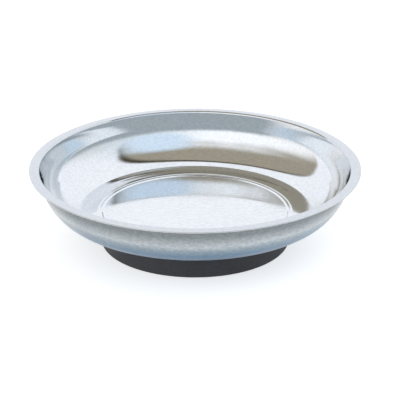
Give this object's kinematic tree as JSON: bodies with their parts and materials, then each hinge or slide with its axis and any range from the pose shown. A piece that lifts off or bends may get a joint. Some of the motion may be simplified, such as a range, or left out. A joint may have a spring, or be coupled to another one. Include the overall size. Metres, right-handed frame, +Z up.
{
  "type": "magnetic parts tray",
  "caption": "Round pressed stainless steel dish with a flat rim, curved wall and stepped floor, on a rubber-covered magnet base that holds small steel parts.",
  "frame": {"origin": "middle of the flat face that the rubber boot rests on", "axes": "+Z up along the axis of the dish; X and Y are alike, because the tray is round"},
  "size_m": [0.15, 0.15, 0.0361],
  "materials": {
    "bright_stainless": "pressed stainless sheet, bright, near mirror",
    "acrylic_pad": "matt white bonding pad",
    "plate_steel": "plain rolled mild steel",
    "epoxy_film": "cured epoxy",
    "ferrite": "ground sintered ferrite",
    "moulded_rubber": "matt moulded black rubber"
  },
  "bodies": {
    "root": {"dish": "bright_stainless", "bonding_pad": "acrylic_pad", "pole_plate": "plate_steel", "glue_film": "epoxy_film", "ring_magnet": "ferrite", "rubber_boot": "moulded_rubber"}
  },
  "joints": []
}
